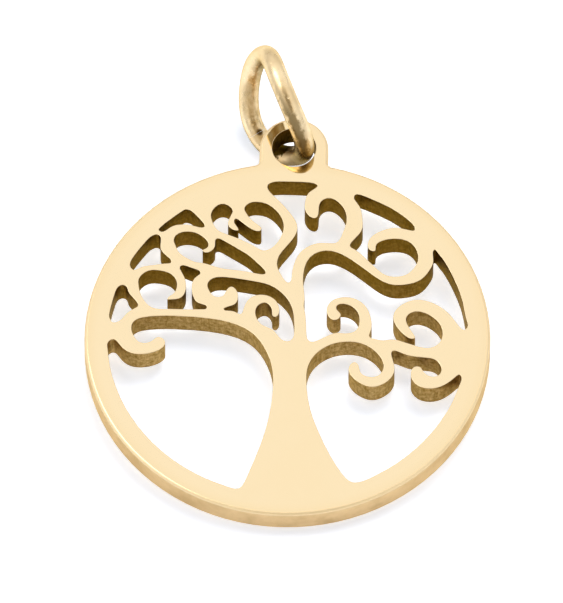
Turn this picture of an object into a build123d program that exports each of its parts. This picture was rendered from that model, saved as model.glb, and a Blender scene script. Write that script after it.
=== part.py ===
from build123d import *
from build123d.topology import SkipClean
import os
from math import atan2, cos, degrees, hypot, radians, sin, sqrt

# Tree of life pendant: a laser-cut plate with an ear, and an open jump ring through the ear.
# It lies as it rests by itself: the plate's foot is on the floor and the ring's wire lifts its ear.
# X runs to the right of the tree, Y from its foot to the ear, and Z up from the floor.

# Driving dimensions, in millimetres and degrees
disc_diameter = 16.0
plate_thickness = 1.1
rim_width = 0.9
edge_rounding = 0.15
neck_rounding = 0.2
ear_rise = 0.66
ear_turn_deg = 1.75
ear_wall = 0.49
ring_diameter = 4.1
wire_diameter = 0.8
hole_play = 0.94
seat_gap = 0.02
ring_cut = 0.01

disc_radius = disc_diameter / 2
window_radius = disc_radius - rim_width
wire_radius = wire_diameter / 2
ring_radius = ring_diameter / 2
hole_radius = (wire_diameter + hole_play) / 2
ear_radius = hole_radius + ear_wall
ear_reach = disc_radius + ear_rise
ear_x = ear_reach * sin(radians(ear_turn_deg))
ear_y = ear_reach * cos(radians(ear_turn_deg))

# The windows are drawn as shares of window_radius, from the disc's middle. Each row is x, y.
# Where a window meets the rim, it follows it from one angle to the next, in steps of 6 degrees.


def along_rim(start, end):
    """Points of the rim's inner circle from one angle to another, both ends included."""
    steps = max(1, round(abs(end - start) / 6))
    angles = [radians(start + (end - start) * i / steps) for i in range(steps + 1)]
    return [(cos(a), sin(a)) for a in angles]


# The crown's middle, under the ear, and its bay down to the fork
crown_middle = [
    (-.074, .908), (-.109, .976), *along_rim(94.5, 81.5), (.167, .972), (.127, .937),
    (.105, .901), (.096, .856), (.100, .814), (.127, .774), (.158, .767), (.173, .794),
    (.178, .850), (.203, .886), (.242, .893), (.286, .866), (.322, .810), (.329, .743),
    (.313, .687), (.291, .632), (.265, .608), (.198, .609), (.136, .596), (.074, .551),
    (.038, .479), (.025, .418), (.020, .369), (.009, .355), (-.005, .359), (-.036, .407),
    (-.055, .452), (-.055, .497), (-.028, .554), (.027, .626), (.054, .684), (.051, .738),
    (.003, .819),
]

# The two curls left of the ear
crown_left = [
    (-.425, .774), (-.417, .814), (-.386, .849), (-.350, .856), (-.315, .834), (-.305, .810),
    (-.315, .783), (-.331, .738), (-.325, .711), (-.295, .688), (-.273, .688), (-.277, .706),
    (-.295, .738), (-.291, .760), (-.273, .756), (-.222, .711), (-.176, .684), (-.152, .684),
    (-.144, .702), (-.154, .717), (-.199, .756), (-.230, .801), (-.238, .832), (-.214, .860),
    (-.176, .870), (-.113, .856), (-.059, .810), (-.028, .756), (-.021, .702), (-.032, .658),
    (-.059, .608), (-.098, .570), (-.136, .561), (-.168, .577), (-.261, .631), (-.370, .679),
    (-.405, .715),
]

# Down the left side of the crown, from the top wedge to the low curl
left_top_wedge = [
    (-.716, .693), *along_rim(133.0, 126.0), (-.565, .821), (-.539, .814), (-.510, .787),
    (-.467, .733), (-.462, .712), (-.481, .706), (-.542, .722), (-.604, .724), (-.650, .708),
    (-.699, .679),
]
left_rim_wedge = [
    (-.875, .463), *along_rim(150.0, 141.0), (-.752, .652), (-.724, .660), (-.705, .640),
    (-.707, .586), (-.689, .541), (-.650, .499), (-.650, .480), (-.681, .475), (-.759, .465),
    (-.814, .452), (-.855, .435),
]
left_high_curl = [
    (-.630, .636), (-.604, .668), (-.557, .679), (-.502, .667), (-.456, .631), (-.440, .599),
    (-.450, .574), (-.472, .559), (-.456, .545), (-.425, .554), (-.403, .586), (-.401, .622),
    (-.387, .635), (-.315, .595), (-.222, .532), (-.160, .470), (-.122, .420), (-.131, .407),
    (-.214, .422), (-.301, .436), (-.370, .447), (-.425, .465), (-.479, .481), (-.510, .486),
    (-.557, .510), (-.604, .550), (-.623, .592),
]
left_middle_curl = [
    (-.828, .352), (-.816, .394), (-.775, .427), (-.721, .432), (-.650, .409), (-.618, .366),
    (-.615, .321), (-.635, .282), (-.664, .259), (-.666, .245), (-.650, .244), (-.604, .250),
    (-.572, .282), (-.563, .336), (-.571, .383), (-.590, .425), (-.597, .452), (-.580, .463),
    (-.534, .447), (-.489, .427), (-.485, .411), (-.505, .392), (-.526, .361), (-.532, .309),
    (-.521, .257), (-.494, .222), (-.450, .203), (-.452, .187), (-.473, .182), (-.550, .182),
    (-.666, .185), (-.751, .196), (-.798, .245), (-.821, .300),
]
left_rim_slot = [
    (-.986, .124), *along_rim(171.5, 162.5), (-.938, .327), (-.914, .337), (-.892, .322),
    (-.884, .295), (-.860, .259), (-.831, .216), (-.834, .199), (-.884, .166), (-.922, .120),
    (-.952, .101), (-.975, .104),
]
left_low_curl = [
    (-.444, .336), (-.432, .366), (-.393, .386), (-.301, .382), (-.184, .361), (-.098, .336),
    (-.036, .291), (.011, .227), (.033, .157), (.038, .084), (.035, .016), (.015, -.016),
    (-.012, -.018), (-.036, -.005), (-.066, .035), (-.093, .060), (-.136, .082),
    (-.168, .120), (-.178, .166), (-.164, .205), (-.128, .224), (-.101, .209), (-.086, .175),
    (-.083, .143), (-.066, .133), (-.048, .152), (-.046, .196), (-.066, .239), (-.106, .268),
    (-.160, .275), (-.207, .255), (-.238, .207), (-.252, .161), (-.264, .153), (-.301, .170),
    (-.348, .177), (-.352, .188), (-.301, .209), (-.277, .241), (-.275, .282), (-.291, .315),
    (-.312, .327), (-.336, .309), (-.355, .273), (-.386, .262), (-.417, .275),
]

# The large window left of the trunk, under the first branch and round its curl
left_of_trunk = [
    (-.866, .068), (-.852, .105), (-.814, .127), (-.729, .139), (-.635, .140), (-.494, .131),
    (-.378, .113), (-.277, .082), (-.199, .033), (-.144, -.034), (-.106, -.113),
    (-.086, -.184), (-.079, -.265), (-.082, -.338), (-.089, -.413), (-.110, -.535),
    (-.153, -.689), (-.213, -.852), (-.245, -.929), (-.268, -.954), (-.295, -.956),
    *along_rim(250.0, 184.0), (-.997, -.033), (-.976, -.011), (-.952, -.016),
    (-.917, -.062), (-.866, -.097), (-.806, -.104), (-.739, -.090), (-.687, -.056),
    (-.678, -.025), (-.693, -.001), (-.722, .006), (-.748, -.014), (-.782, -.030),
    (-.823, -.023), (-.854, .016),
]

# The large window right of the trunk, round the two low curls
right_of_trunk = [
    (.105, -.257), (.110, -.351), (.133, -.479), (.179, -.614), (.243, -.760), (.307, -.869),
    (.339, -.905), (.366, -.917), *along_rim(-65.5, -17.5), (.965, -.253), (.954, -.236),
    (.939, -.243), (.914, -.267), (.859, -.307), (.795, -.324), (.731, -.310),
    (.691, -.267), (.685, -.218), (.703, -.186), (.733, -.185), (.753, -.212), (.786, -.242),
    (.831, -.242), (.854, -.204), (.833, -.153), (.795, -.131), (.703, -.120), (.639, -.100),
    (.590, -.082), (.577, -.098), (.590, -.161), (.590, -.225), (.551, -.280),
    (.473, -.313), (.400, -.288), (.351, -.239), (.340, -.186), (.369, -.154), (.394, -.172),
    (.409, -.223), (.464, -.248), (.510, -.233), (.533, -.189), (.517, -.127), (.464, -.066),
    (.400, -.033), (.327, -.025), (.252, -.039), (.179, -.082), (.131, -.141), (.109, -.204),
]

# The window between the right branch and the curls that rise from its foot
right_middle = [
    (.087, .357), (.090, .418), (.110, .489), (.153, .538), (.215, .557), (.277, .545),
    (.357, .498), (.454, .417), (.534, .357), (.596, .337), (.667, .341), (.738, .368),
    (.788, .426), (.812, .489), (.810, .546), (.821, .563), (.841, .536), *along_rim(30.5, 7.0),
    (1.001, .074), (.983, .051), (.958, .069), (.896, .157), (.816, .220), (.738, .244),
    (.667, .231), (.608, .187), (.587, .135), (.605, .072), (.649, .017), (.690, -.007),
    (.709, .001), (.695, .034), (.668, .081), (.659, .123), (.684, .158), (.738, .166),
    (.807, .131), (.852, .074), (.861, .021), (.846, -.027), (.800, -.060), (.748, -.060),
    (.667, -.035), (.587, -.010), (.534, -.015), (.490, -.008), (.455, .009), (.465, .052),
    (.463, .133), (.437, .200), (.384, .247), (.313, .261), (.251, .240), (.220, .195),
    (.224, .144), (.255, .113), (.286, .124), (.295, .152), (.274, .181), (.278, .208),
    (.313, .216), (.357, .200), (.392, .158), (.400, .102), (.383, .052), (.348, .033),
    (.313, .030), (.279, .033), (.224, .015), (.171, -.014), (.134, -.024), (.114, -.010),
    (.105, .052), (.100, .154), (.091, .205), (.096, .253),
]

# The curl at the upper right, under the rim
right_top = [
    (.372, .904), (.390, .918), (.439, .902), (.488, .878), (.575, .831), (.654, .771),
    (.706, .712), (.706, .688), (.682, .688), (.649, .697), (.596, .705), (.534, .690),
    (.483, .662), (.452, .622), (.447, .581), (.465, .557), (.488, .556), (.493, .589),
    (.525, .619), (.596, .633), (.667, .619), (.711, .575), (.727, .520), (.717, .468),
    (.676, .416), (.631, .395), (.569, .395), (.525, .417), (.481, .459), (.437, .507),
    (.384, .559), (.350, .584), (.357, .611), (.399, .662), (.419, .708), (.418, .774),
    (.400, .845),
]

windows = [
    crown_middle, crown_left, left_top_wedge, left_rim_wedge, left_high_curl,
    left_middle_curl, left_rim_slot, left_low_curl, left_of_trunk, right_of_trunk,
    right_middle, right_top,
]


def outline(rows):
    """One smooth closed curve through a window's rows, timed by the roots of its runs."""
    points = [(window_radius * x, window_radius * y) for x, y in rows]
    runs = [hypot(q[0] - p[0], q[1] - p[1]) for p, q in zip(points, points[1:] + points[:1])]
    times = [0.0]
    for run in runs:
        times.append(times[-1] + sqrt(run))
    return Edge.make_spline(points, periodic=True, parameters=times)


# The ring's wire passes through the hole's right side and under the ear's left side.
# It isn't flat: it was bent open and closed again. Its stations start at the cut and run up the
# free side, over the top and down into the hole. Each row is span, x, y, z from the hole's middle,
# with x and y as shares of the span, a height as one of ring_radius and a depth as one of wire_drop.
wire_drop = plate_thickness / 2 + wire_radius + seat_gap
ring_stations = [
    (ear_radius, -1.07, 1.11, -0.97),
    (ring_radius, -0.87, 1.16, -0.35),
    (ring_radius, -0.85, 1.51, 0.23),
    (ring_radius, -0.73, 1.66, 0.72),
    (ring_radius, -0.53, 1.53, 1.18),
    (ring_radius, -0.38, 1.12, 1.44),
    (ring_radius, -0.21, 0.63, 1.43),
    (ring_radius, 0.00, 0.21, 1.16),
    (hole_play / 2, 0.72, -0.20, 0.77),
    (hole_play / 2, 0.80, -0.27, 0.23),
    (hole_play / 2, 0.14, 0.46, -0.47),
    (ear_radius, -0.48, 0.52, -1.13),
]


def ring_point(span, x, y, z):
    """A station of the ring, measured from the disc's middle on the plate's back."""
    rise = z * (ring_radius if z > 0 else wire_drop)
    return (ear_x + x * span, ear_y + y * span, plate_thickness / 2 + rise)


def ring_loop(points):
    """The wire's middle line, open by the cut at its first point."""
    loop = Edge.make_spline(points, periodic=True)
    half_cut = ring_cut / 2 / loop.length
    return loop.trim(half_cut, 1 - half_cut)


# The plate leans until the lowest of the wire is on the floor
line_steps = 200
flat_points = [ring_point(*row) for row in ring_stations]
flat_loop = ring_loop(flat_points)
wire_line = [flat_loop @ (i / line_steps) for i in range(line_steps + 1)]
foot = disc_radius - edge_rounding
lean = max(atan2(wire_radius - p.Z, foot + p.Y) for p in wire_line)
reach = max(p.Y * cos(lean) - p.Z * sin(lean) for p in wire_line) + wire_radius
foot_reach = disc_radius * cos(lean) + (plate_thickness - edge_rounding) * sin(lean)
back = Plane(
    origin=(0, (foot_reach - reach) / 2, foot * sin(lean)),
    x_dir=(1, 0, 0),
    z_dir=(0, -sin(lean), cos(lean)),
)

# The plate's outline is two mirrored halves, each from the foot round the disc and over the ear.
# The neck's side is straight, and a small arc round (neck_x, neck_y) joins it to the disc.
# The halves stay apart as faces, so that the rounding's inner and outer edges divide alike.
neck_x = ear_radius + neck_rounding
neck_y = sqrt((disc_radius + neck_rounding) ** 2 - neck_x**2)
neck_turn_deg = degrees(atan2(neck_y, neck_x))
turned_back = Plane(back * Rotation(0, 0, -ear_turn_deg))

# Plate: rim, tree and ear are one piece of metal
with BuildPart() as tree_plate:
    with BuildLine(turned_back) as outline_halves:
        CenterArc((0, 0), disc_radius, -90, 90 + neck_turn_deg)
        CenterArc((neck_x, neck_y), neck_rounding, 180, neck_turn_deg)
        Line((ear_radius, neck_y), (ear_radius, ear_reach))
        CenterArc((0, ear_reach), ear_radius, 0, 90)
        mirror(about=Plane(turned_back.origin, z_dir=turned_back.x_dir))
    blank = Face(outline_halves.wire())
    extrude(blank, amount=plate_thickness, dir=back.z_dir, clean=False)
    flat_faces = tree_plate.faces().filter_by(Axis((0, 0, 0), back.z_dir))
    rounded = tree_plate.part.fillet(edge_rounding, flat_faces.edges())
    add(rounded, clean=False, mode=Mode.REPLACE)
    with BuildSketch(back):
        for rows in windows:
            with BuildLine():
                add(outline(rows))
            make_face()
        with Locations((ear_x, ear_y)):
            Circle(hole_radius)
    with SkipClean():
        extrude(amount=plate_thickness, mode=Mode.SUBTRACT, clean=False)
tree_plate.part.label = "tree_plate"

# Jump ring: round wire, open at its cut left of the ear
with BuildPart() as jump_ring:
    with BuildLine():
        loop = ring_loop([back.from_local_coords(p) for p in flat_points])
        add(loop)
    with BuildSketch(Plane(origin=loop @ 0, z_dir=loop % 0)):
        Circle(wire_radius)
    sweep(is_frenet=True)
jump_ring.part.label = "jump_ring"

os.makedirs("parts", exist_ok=True)
export_step(tree_plate.part, "parts/tree_plate.step")
export_step(jump_ring.part, "parts/jump_ring.step")
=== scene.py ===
from math import cos, radians, sin

import bpy
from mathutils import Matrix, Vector


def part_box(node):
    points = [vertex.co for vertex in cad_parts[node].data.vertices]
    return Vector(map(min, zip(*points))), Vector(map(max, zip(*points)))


# The tree of life pendant as it lies on a white table, in metres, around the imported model
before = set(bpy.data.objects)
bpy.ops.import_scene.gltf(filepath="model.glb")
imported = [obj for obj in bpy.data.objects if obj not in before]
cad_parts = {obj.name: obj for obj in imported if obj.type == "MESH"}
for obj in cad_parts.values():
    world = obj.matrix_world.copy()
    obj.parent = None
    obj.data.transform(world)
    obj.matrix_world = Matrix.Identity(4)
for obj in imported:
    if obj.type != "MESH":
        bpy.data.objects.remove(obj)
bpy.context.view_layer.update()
MM = 0.001

# Sizes of the pendant that the looks follow
EDGE_ROUNDING = 0.15 * MM
THICKNESS = 1.1 * MM
EAR_RISE = 0.66 * MM
EAR_TURN = radians(1.75)
WIRE_RADIUS = 0.4 * MM

# The photograph: its size, the middle of the disc's front face in it, its scale and its view
IMAGE_WIDTH = 563
IMAGE_HEIGHT = 603
DISC_PIXEL_X = 287.4
DISC_PIXEL_Y = 337.6
PIXELS_PER_MM = 25.38
FACE_ELEVATION = radians(60.35)
CAMERA_DISTANCE = 0.8
SENSOR = 36.0
CLIP_START = 0.1
CLIP_END = 10

# The tint of both metals at grazing angles
METAL_TINT = (0.82, 0.71, 0.46, 1)

# Colours of the plate: its faces, its outer wall, and its cut walls low down and in the crown,
# where they are darker with painted shade
FACE_GOLD = (0.97, 0.785, 0.50, 1)
FACE_GOLD_BY_RIM = (0.96, 0.76, 0.46, 1)
FACE_CLOUD = (0.95, 0.75, 0.45, 1)
OUTER_WALL_TAN = (0.78, 0.575, 0.32, 1)
OUTER_WALL_BLOTCH = (0.64, 0.455, 0.235, 1)
LOW_CUT_DARK = (0.24, 0.14, 0.03, 1)
LOW_CUT_PALE = (0.58, 0.40, 0.17, 1)
CROWN_SHADED_CUT_DARK = (0.14, 0.07, 0.006, 1)
CROWN_SHADED_CUT_PALE = (0.27, 0.155, 0.03, 1)

# Colours of the ring, with the browns of its painted shade and painted dark reflections, and of its
# raw ends
RING_GOLD = (1.0, 0.80, 0.50, 1)
RING_CLOUD = (0.87, 0.66, 0.375, 1)
INNER_SHADE_BROWN = (0.62, 0.44, 0.205, 1)
UNDERSIDE_SHADE_BROWN = (0.31, 0.245, 0.145, 1)
BY_FACE_SHADE_BROWN = (0.33, 0.25, 0.14, 1)
REFLECTION_STREAK_BROWN = (0.22, 0.14, 0.04, 1)
HOLE_SHADE_BROWN = (0.07, 0.04, 0.005, 1)
RAW_BROWN = (0.10, 0.06, 0.02, 1)

# Where the plate's looks change, from one distance to the next: outwards from the disc's middle
# and from the ear's middle, and up from the disc's middle towards the ear
WINDOWS_END = (7.4 * MM, 7.5 * MM)
HOLE_ENDS = (1.1 * MM, 1.15 * MM)
FACE_DEEPENS = (7.45 * MM, 7.95 * MM)
# Where the painted shade of the crown's cut walls sets in, up from the disc's middle
CROWN_SHADE_BEGINS = (0.2 * MM, 3.0 * MM)

# Where the ring's looks change: outwards from the ear's middle, and by the height over the
# plate's face, the place to the right and the place towards the ear, all from the disc's middle
BELOW_HOLE_REACH = (1.25 * MM, 1.4 * MM)
BELOW_HOLE_HEIGHT = (-0.9 * MM, -0.5 * MM)
# How far from the ear the painted shade on the side facing the plate reaches
BY_FACE_SHADE_REACH = (1.6 * MM, 2.2 * MM)
# Where the painted dark reflection streak runs: its top and foot by height, and where the front leg
# begins
REFLECTION_STREAK_TOP = (2.1 * MM, 2.9 * MM)
REFLECTION_STREAK_FOOT = (-0.4 * MM, 0.0)
FRONT_LEG_BEGINS = (-0.8 * MM, -0.6 * MM)
# Where the painted shade below the hole sets in, and how ragged its edge is
HOLE_SHADE_BEGINS = (8.88 * MM, 9.02 * MM)
HOLE_SHADE_RAGGEDNESS = 0.6 * MM
WIRE_END_REACH = (0.44 * MM, 0.46 * MM)
NICK_REACH = (0.08 * MM, 0.18 * MM)

# How the surface's direction bounds the looks, as dot products of two directions
WALL_LIMITS = (0.3, 0.5)
ROUNDED_LIMITS = (0.93, 0.999)
# Bounds of the painted shade on the ring's inner side and on its underside
INNER_SHADE_LIMITS = (0.0, 0.9)
UNDERSIDE_SHADE_LIMITS = (-0.4, 0.3)
BY_FACE_SHADE_LIMITS = (-0.1, 0.4)
# The sides of the front leg that the painted dark reflection streak covers, and how ragged it is
REFLECTION_STREAK_RIGHT = (-0.3, 0.1)
REFLECTION_STREAK_LEFT = (0.6, 0.9)
REFLECTION_STREAK_RAGGEDNESS = 1.3
WIRE_END_LIMITS = (0.5, 0.6)

# Strengths, shares, roughnesses, and how much rougher the roundings and the wire below the hole are
FACE_CLOUD_STRENGTH = 0.25
# Strength of the painted shade on the ring's side facing the plate
BY_FACE_SHADE_STRENGTH = 0.8
# Strength of the painted dark reflection streak
REFLECTION_STREAK_STRENGTH = 0.82
POLISHED = 0.05
ROUNDED_MORE = 0.45
RING_ROUGHNESS = (0.26, 0.4)
BELOW_HOLE_MORE = 0.25
LINES_IN_COLOUR = 0.3
LINES_IN_RELIEF = 0.7
MARKS_IN_RELIEF = 0.4

# The patterns: the scale over metres, the detail and the roughness of each one's noise
FACE_CLOUDS = (400.0, 3.0, 0.5)
RING_CLOUDS = (900.0, 3.0, 0.5)
BLOTCHES = (900.0, 4.0, 0.6)
PATCHES = (2200.0, 4.0, 0.7)
TOOL_MARKS = (2500.0, 3.0, 0.5)
RAGGED_EDGES = (4500.0, 5.0, 0.75)
PITS = (5000.0, 2.0, 0.5)
CUT_GRAIN = (6000.0, 5.0, 0.7)
DRAG_LINES = (16000.0, 3.0, 0.6)
DRAG_STRETCH = (1.0, 1.0, 0.12)

# The noise values between which each pattern sets in
FACE_CLOUDS_RANGE = (0.35, 0.75)
RING_CLOUDS_RANGE = (0.38, 0.64)
BLOTCHES_RANGE = (0.35, 0.7)
PATCHES_RANGE = (0.3, 0.6)
TOOL_MARKS_RANGE = (0.35, 0.65)
PITS_RANGE = (0.62, 0.76)
MOTTLED_RANGE = (0.34, 0.68)

# Depths of the bumps
CUT_RELIEF = 0.02 * MM
RING_RELIEF = 0.01 * MM

# The broken edge along the plate's cuts
WELD_DISTANCE = 0.0005 * MM
FLAT_ANGLE = radians(0.3)
SHARP_ANGLE = radians(80)
BROKEN_EDGE = 0.02 * MM
BROKEN_EDGE_SEGMENTS = 2

# The table, and the light tent around it: its brightness from low to high, and the dim warm
# opening in it, by the cosine of the angle from the opening's middle
TABLE_HALF = 0.8
PAPER = (0.80, 0.80, 0.83, 1)
PAPER_GLOW = (0.85, 0.91, 1.0, 1)
PAPER_GLOW_STRENGTH = 0.62
TENT_HEIGHTS = (0.0, 0.7)
TENT_LIGHT = (0.62, 1.02)
OPENING_EDGE = (0.90, 0.985)
OPENING_LIGHT = (1.0, 0.22)
WARM_EDGE = (0.86, 0.96)
TENT_WHITE = (1, 1, 1, 1)
OPENING_WARM = (1.0, 0.84, 0.56, 1)

# The soft lights: name, direction, distance, width and power, and whether the metal mirrors it
SOFTBOXES = [
    ("overhead", (0.2, 0.15, 1.0), 0.5, 1.4, 1.6, False),
    ("key", (0.16, 0.36, 0.90), 0.5, 0.3, 1.25, False),
    ("left", (-0.5, 0.1, 0.86), 0.3, 0.18, 0.16, True),
]

# Places of a colour Mix node's sockets, whose names repeat
MIX_FACTOR, MIX_FIRST, MIX_SECOND = 0, 6, 7
MIX_RESULT = 2

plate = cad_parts["tree_plate"]
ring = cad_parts["jump_ring"]

# The plate's own directions and places, worked out from the imported model
plate_low, plate_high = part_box("tree_plate")
front = max(plate.data.polygons, key=lambda face: face.area).normal.copy()
if front.z < 0:
    front.negate()
right = Vector((1, 0, 0))
along = front.cross(right)
disc_radius = (plate_high.x - plate_low.x) / 2
back_middle = Vector((
    0,
    plate_low.y + disc_radius * along.y - (THICKNESS - EDGE_ROUNDING) * front.y,
    (disc_radius - EDGE_ROUNDING) * along.z,
))
front_middle = back_middle + front * THICKNESS
disc_middle = back_middle + front * THICKNESS / 2
ear_reach = disc_radius + EAR_RISE
ear_middle = disc_middle + (right * sin(EAR_TURN) + along * cos(EAR_TURN)) * ear_reach

# From the middle of the ring's front leg to the side that shows left and low in the photograph
leg_side = (-right * 0.88 - along * 0.41 - front * 0.23).normalized()


class Nodes:
    """A node tree that is built by short calls, each of which gives the output that it made."""

    def __init__(self, tree):
        self.tree = tree
        tree.nodes.clear()

    def add(self, kind, **settings):
        """Makes a node and gives the node itself."""
        made = self.tree.nodes.new(kind)
        for name, value in settings.items():
            setattr(made, name, value)
        return made

    def join(self, source, target):
        self.tree.links.new(source, target)

    def fill(self, made, values):
        """Sets or links the inputs of a node by name or number."""
        for key, value in values.items():
            if isinstance(value, bpy.types.NodeSocket):
                self.join(value, made.inputs[key])
            else:
                made.inputs[key].default_value = value

    def maths(self, operation, *values):
        made = self.add("ShaderNodeMath", operation=operation)
        self.fill(made, dict(enumerate(values)))
        return made.outputs["Value"]

    def plus(self, first, second):
        return self.maths("ADD", first, second)

    def minus(self, first, second):
        return self.maths("SUBTRACT", first, second)

    def times(self, first, *others):
        """The product of two or more numbers."""
        product = first
        for other in others:
            product = self.maths("MULTIPLY", product, other)
        return product

    def blend(self, share, first, second):
        """A number between two numbers, with this share of the second."""
        return self.plus(self.times(first, 1 - share), self.times(second, share))

    def stirred(self, value, noise, reach):
        """A value that a noise moves by up to half of reach either way."""
        return self.plus(value, self.times(self.minus(noise, 0.5), reach))

    def vector(self, operation, *values):
        """A vector that is worked out from others."""
        made = self.add("ShaderNodeVectorMath", operation=operation)
        self.fill(made, dict(enumerate(values)))
        return made.outputs["Vector"]

    def measure(self, operation, first, second):
        """A number that is worked out from two vectors."""
        made = self.add("ShaderNodeVectorMath", operation=operation)
        self.fill(made, {0: first, 1: second})
        return made.outputs["Value"]

    def dot(self, first, second):
        return self.measure("DOT_PRODUCT", first, second)

    def distance(self, first, second):
        return self.measure("DISTANCE", first, second)

    def rise(self, value, low, high, to_low=0.0, to_high=1.0):
        """A smooth step up, as value goes from low to high."""
        made = self.add("ShaderNodeMapRange", interpolation_type="SMOOTHSTEP")
        self.fill(made, dict(enumerate((value, low, high, to_low, to_high))))
        return made.outputs["Result"]

    def fall(self, value, low, high):
        """A smooth step down from 1 to 0, as value goes from low to high."""
        return self.rise(value, low, high, 1.0, 0.0)

    def mix(self, factor, first, second):
        made = self.add("ShaderNodeMix", data_type="RGBA")
        self.fill(made, {MIX_FACTOR: factor, MIX_FIRST: first, MIX_SECOND: second})
        return made.outputs[MIX_RESULT]

    def noise(self, place, scale, detail, roughness):
        made = self.add("ShaderNodeTexNoise")
        values = {"Vector": place, "Scale": scale, "Detail": detail, "Roughness": roughness}
        self.fill(made, values)
        return made.outputs["Fac"]

    def pattern(self, place, noise, limits):
        """A noise that sets in smoothly from 0 to 1 between its limits."""
        return self.rise(self.noise(place, *noise), *limits)

    def bump(self, height, depth):
        made = self.add("ShaderNodeBump")
        self.fill(made, {"Height": height, "Distance": depth, "Strength": 1.0})
        return made.outputs["Normal"]

    def finish(self, kind, surface):
        """Ends the tree in an output of its kind, with this surface."""
        self.fill(self.add(kind), {"Surface": surface})


def new_material(name):
    """A new material and its empty node tree."""
    material = bpy.data.materials.new(name)
    material.use_nodes = True
    return material, Nodes(material.node_tree)


def metal(name):
    """A material with a metal surface, its node tree and its shader."""
    material, nodes = new_material(name)
    shader = nodes.add("ShaderNodeBsdfPrincipled")
    nodes.fill(shader, {"Metallic": 1.0, "Specular Tint": METAL_TINT})
    nodes.finish("ShaderNodeOutputMaterial", shader.outputs["BSDF"])
    return material, nodes, shader


def plate_gold():
    """Mirror-polished faces, a satin outer wall and raw brown laser-cut walls, darker in the crown
    with painted shade.
    """
    material, nodes, shader = metal("plate_gold")
    place = nodes.add("ShaderNodeTexCoord").outputs["Object"]
    facing = nodes.add("ShaderNodeNewGeometry").outputs["True Normal"]
    from_disc = nodes.distance(place, disc_middle)
    from_ear = nodes.distance(place, ear_middle)

    # Where the surface is a wall, the rounding of an edge, or a wall that was cut inside the rim
    flat = nodes.maths("ABSOLUTE", nodes.dot(facing, front))
    wall = nodes.fall(flat, *WALL_LIMITS)
    rounded = nodes.fall(flat, *ROUNDED_LIMITS)
    past_windows = nodes.rise(from_disc, *WINDOWS_END)
    past_hole = nodes.rise(from_ear, *HOLE_ENDS)
    cut = nodes.times(wall, nodes.minus(1.0, nodes.times(past_windows, past_hole)))

    # Faces: even cream gold that deepens slightly towards the outer edge
    by_rim = nodes.rise(from_disc, *FACE_DEEPENS)
    face = nodes.mix(by_rim, FACE_GOLD, FACE_GOLD_BY_RIM)
    clouds = nodes.pattern(place, FACE_CLOUDS, FACE_CLOUDS_RANGE)
    face = nodes.mix(nodes.times(clouds, FACE_CLOUD_STRENGTH), face, FACE_CLOUD)

    # Outer wall: tan with faint blotches
    blotches = nodes.pattern(place, BLOTCHES, BLOTCHES_RANGE)
    outer_wall = nodes.mix(blotches, OUTER_WALL_TAN, OUTER_WALL_BLOTCH)

    # Cut walls: grain, and the cut's drag lines through the thickness, with painted shade that
    # makes them darker in the crown's narrow windows
    stretched = nodes.add("ShaderNodeMapping")
    nodes.fill(stretched, {"Vector": place, "Scale": DRAG_STRETCH})
    lines = nodes.noise(stretched.outputs["Vector"], *DRAG_LINES)
    grain = nodes.noise(place, *CUT_GRAIN)
    mottled = nodes.rise(nodes.blend(LINES_IN_COLOUR, grain, lines), *MOTTLED_RANGE)
    low_cut = nodes.mix(mottled, LOW_CUT_DARK, LOW_CUT_PALE)
    shaded_crown_cut = nodes.mix(mottled, CROWN_SHADED_CUT_DARK, CROWN_SHADED_CUT_PALE)
    from_middle = nodes.vector("SUBTRACT", place, disc_middle)
    crown_shade = nodes.rise(nodes.dot(from_middle, along), *CROWN_SHADE_BEGINS)
    cut_wall = nodes.mix(crown_shade, low_cut, shaded_crown_cut)
    relief = nodes.blend(LINES_IN_RELIEF, grain, lines)

    colour = nodes.mix(wall, face, outer_wall)
    colour = nodes.mix(cut, colour, cut_wall)
    rough = nodes.plus(POLISHED, nodes.times(rounded, ROUNDED_MORE))
    normal = nodes.bump(nodes.times(relief, cut), CUT_RELIEF)
    nodes.fill(shader, {"Base Color": colour, "Roughness": rough, "Normal": normal})
    return material


def wire_end():
    """The middle and the direction of one flat end of the ring's wire, its largest even face."""
    ends = {}
    for face in ring.data.polygons:
        key = tuple(round(part, 3) for part in face.normal)
        ends.setdefault(key, []).append(face)
    end = max(ends.values(), key=lambda faces: sum(face.area for face in faces))
    area = sum(face.area for face in end)
    middle = sum((face.center * face.area for face in end), Vector()) / area
    return middle, end[0].normal.copy()


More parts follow.
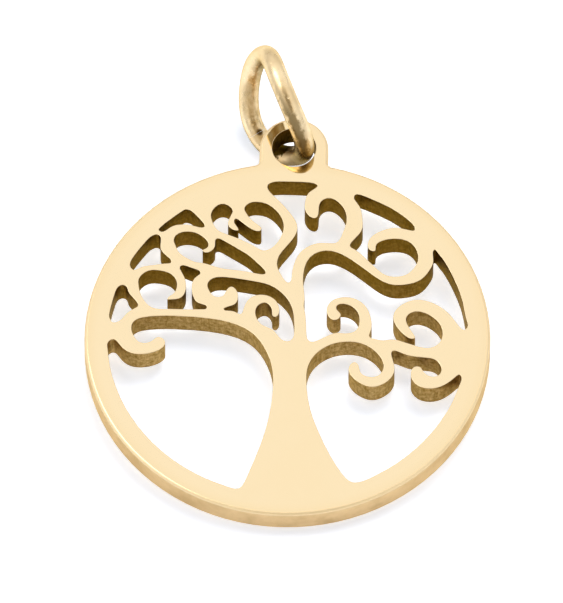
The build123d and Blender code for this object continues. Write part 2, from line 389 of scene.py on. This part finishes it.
def ring_gold():
    """Polished gold wire with tool marks, pits, raw dark ends, and brown places of painted shade
    and painted dark reflection.
    """
    material, nodes, shader = metal("ring_gold")
    place = nodes.add("ShaderNodeTexCoord").outputs["Object"]
    facing = nodes.add("ShaderNodeNewGeometry").outputs["Normal"]
    from_ear = nodes.distance(place, ear_middle)
    from_face = nodes.vector("SUBTRACT", place, front_middle)
    lift = nodes.dot(from_face, front)
    below_hole = nodes.times(
        nodes.fall(from_ear, *BELOW_HOLE_REACH),
        nodes.fall(lift, *BELOW_HOLE_HEIGHT),
    )

    # Gold with clouds, tool marks and small pits
    clouds = nodes.pattern(place, RING_CLOUDS, RING_CLOUDS_RANGE)
    colour = nodes.mix(clouds, RING_GOLD, RING_CLOUD)
    pits = nodes.pattern(place, PITS, PITS_RANGE)
    marks = nodes.noise(place, *TOOL_MARKS)
    normal = nodes.bump(nodes.minus(nodes.times(marks, MARKS_IN_RELIEF), pits), RING_RELIEF)
    rough = nodes.rise(marks, *TOOL_MARKS_RANGE, *RING_ROUGHNESS)
    rough = nodes.plus(rough, nodes.times(below_hole, BELOW_HOLE_MORE))

    # Painted shade: its inner side is darker brown in patches, apart from below the hole, and its
    # underside all over
    low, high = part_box("jump_ring")
    inwards = nodes.vector("NORMALIZE", nodes.vector("SUBTRACT", (low + high) / 2, place))
    inner_shade = nodes.rise(nodes.dot(facing, inwards), *INNER_SHADE_LIMITS)
    patches = nodes.pattern(place, PATCHES, PATCHES_RANGE)
    inner_shade = nodes.times(inner_shade, patches, nodes.minus(1.0, below_hole))
    colour = nodes.mix(inner_shade, colour, INNER_SHADE_BROWN)
    # Painted shade darkens the wire's underside
    underside_shade = nodes.fall(nodes.dot(facing, (0, 0, 1)), *UNDERSIDE_SHADE_LIMITS)
    colour = nodes.mix(underside_shade, colour, UNDERSIDE_SHADE_BROWN)

    # Painted shade: near the ear, the side that looks at the plate's face is darker brown too
    by_face_shade = nodes.times(
        nodes.fall(from_ear, *BY_FACE_SHADE_REACH),
        nodes.fall(nodes.dot(facing, front), *BY_FACE_SHADE_LIMITS),
    )
    colour = nodes.mix(nodes.times(by_face_shade, BY_FACE_SHADE_STRENGTH), colour, BY_FACE_SHADE_BROWN)

    # Painted dark reflection: a ragged brown streak runs down the front leg to the ear
    ragged = nodes.noise(place, *RAGGED_EDGES)
    around = nodes.stirred(nodes.dot(facing, leg_side), ragged, REFLECTION_STREAK_RAGGEDNESS)
    reflection_streak = nodes.times(
        nodes.rise(around, *REFLECTION_STREAK_RIGHT),
        nodes.fall(around, *REFLECTION_STREAK_LEFT),
        nodes.rise(nodes.dot(from_face, right), *FRONT_LEG_BEGINS),
        nodes.fall(lift, *REFLECTION_STREAK_TOP),
        nodes.rise(lift, *REFLECTION_STREAK_FOOT),
    )
    colour = nodes.mix(nodes.times(reflection_streak, REFLECTION_STREAK_STRENGTH), colour, REFLECTION_STREAK_BROWN)

    # Painted shade and dark reflection: the wire is dark below the upper part of the hole
    upper = nodes.stirred(nodes.dot(from_face, along), ragged, HOLE_SHADE_RAGGEDNESS)
    hole_shade = nodes.times(below_hole, nodes.rise(upper, *HOLE_SHADE_BEGINS))
    colour = nodes.mix(hole_shade, colour, HOLE_SHADE_BROWN)

    # The wire's two ends in the cut are raw and dark, with a nick where they meet in front
    end_middle, end_along = wire_end()
    across = nodes.maths("ABSOLUTE", nodes.dot(facing, end_along))
    near_end = nodes.fall(nodes.distance(place, end_middle), *WIRE_END_REACH)
    raw = nodes.times(nodes.rise(across, *WIRE_END_LIMITS), near_end)
    to_front = (front - end_along * front.dot(end_along)).normalized() * WIRE_RADIUS
    nick = nodes.fall(nodes.distance(place, end_middle + to_front), *NICK_REACH)
    colour = nodes.mix(nodes.maths("MAXIMUM", raw, nick), colour, RAW_BROWN)

    nodes.fill(shader, {"Base Color": colour, "Roughness": rough, "Normal": normal})
    return material


def paint(piece, material):
    """Gives a piece this material alone."""
    piece.data.materials.clear()
    piece.data.materials.append(material)


def break_edges(piece):
    """A fine broken edge along every cut, as modifiers on the piece."""
    weld = piece.modifiers.new("weld", "WELD")
    weld.merge_threshold = WELD_DISTANCE
    flatten = piece.modifiers.new("flatten", "DECIMATE")
    flatten.decimate_type = "DISSOLVE"
    flatten.angle_limit = FLAT_ANGLE
    edge = piece.modifiers.new("edge", "BEVEL")
    edge.width = BROKEN_EDGE
    edge.segments = BROKEN_EDGE_SEGMENTS
    edge.limit_method = "ANGLE"
    edge.angle_limit = SHARP_ANGLE
    edge.use_clamp_overlap = False
    edge.miter_outer = "MITER_ARC"
    shade = piece.modifiers.new("shade", "WEIGHTED_NORMAL")
    shade.keep_sharp = True


def table():
    """A wide sheet of white paper that glows faintly, as on a light table."""
    mesh = bpy.data.meshes.new("table")
    corners = [
        (x * TABLE_HALF, y * TABLE_HALF, 0)
        for x, y in ((-1, -1), (1, -1), (1, 1), (-1, 1))
    ]
    mesh.from_pydata(corners, [], [(0, 1, 2, 3)])
    sheet = bpy.data.objects.new("table", mesh)
    bpy.context.scene.collection.objects.link(sheet)
    material, nodes = new_material("paper")
    paper = nodes.add("ShaderNodeBsdfDiffuse")
    nodes.fill(paper, {"Color": PAPER})
    glow = nodes.add("ShaderNodeEmission")
    nodes.fill(glow, {"Color": PAPER_GLOW, "Strength": PAPER_GLOW_STRENGTH})
    both = nodes.add("ShaderNodeAddShader")
    nodes.fill(both, {0: paper.outputs["BSDF"], 1: glow.outputs["Emission"]})
    nodes.finish("ShaderNodeOutputMaterial", both.outputs["Shader"])
    sheet.data.materials.append(material)


def aim(made, towards, distance, target):
    """Puts a lamp or a camera at a distance in a direction from a target, looking back at it."""
    made.location = target + towards * distance
    made.rotation_mode = "QUATERNION"
    made.rotation_quaternion = (-towards).to_track_quat("-Z", "Y")


def camera():
    """The photograph's view, at its angle to the plate's face, and the direction it lies in."""
    towards = front * sin(FACE_ELEVATION) - along * cos(FACE_ELEVATION)
    up = along * sin(FACE_ELEVATION) + front * cos(FACE_ELEVATION)
    to_right = (IMAGE_WIDTH / 2 - DISC_PIXEL_X) / PIXELS_PER_MM * MM
    upwards = (DISC_PIXEL_Y - IMAGE_HEIGHT / 2) / PIXELS_PER_MM * MM
    target = front_middle + right * to_right + up * upwards
    data = bpy.data.cameras.new("camera")
    data.sensor_width = SENSOR
    data.lens = SENSOR * CAMERA_DISTANCE / (IMAGE_HEIGHT / PIXELS_PER_MM * MM)
    data.clip_start = CLIP_START
    data.clip_end = CLIP_END
    made = bpy.data.objects.new("camera", data)
    bpy.context.scene.collection.objects.link(made)
    aim(made, towards, CAMERA_DISTANCE, target)
    bpy.context.scene.camera = made
    return towards


def softbox(name, direction, distance, size, energy, mirrored):
    """A round soft light that looks at the pendant; one that isn't mirrored shows in no metal."""
    lamp = bpy.data.lights.new(name, "AREA")
    lamp.shape = "DISK"
    lamp.size = size
    lamp.energy = energy
    made = bpy.data.objects.new(name, lamp)
    bpy.context.scene.collection.objects.link(made)
    aim(made, Vector(direction).normalized(), distance, Vector())
    made.visible_glossy = mirrored


def tent(opening_side):
    """A white tent that is dimmer low down, with a dim warm opening on one side of it."""
    world = bpy.data.worlds.new("tent")
    bpy.context.scene.world = world
    world.use_nodes = True
    world.cycles_visibility.diffuse = False
    nodes = Nodes(world.node_tree)
    place = nodes.add("ShaderNodeTexCoord").outputs["Generated"]
    height = nodes.dot(place, (0, 0, 1))
    light = nodes.rise(height, *TENT_HEIGHTS, *TENT_LIGHT)
    to_opening = nodes.dot(place, opening_side)
    light = nodes.times(light, nodes.rise(to_opening, *OPENING_EDGE, *OPENING_LIGHT))
    colour = nodes.mix(nodes.rise(to_opening, *WARM_EDGE), TENT_WHITE, OPENING_WARM)
    background = nodes.add("ShaderNodeBackground")
    nodes.fill(background, {"Color": colour, "Strength": light})
    nodes.finish("ShaderNodeOutputWorld", background.outputs["Background"])


paint(plate, plate_gold())
paint(ring, ring_gold())
break_edges(plate)
table()
tent(camera())
for row in SOFTBOXES:
    softbox(*row)
bpy.context.scene.view_settings.view_transform = "Standard"
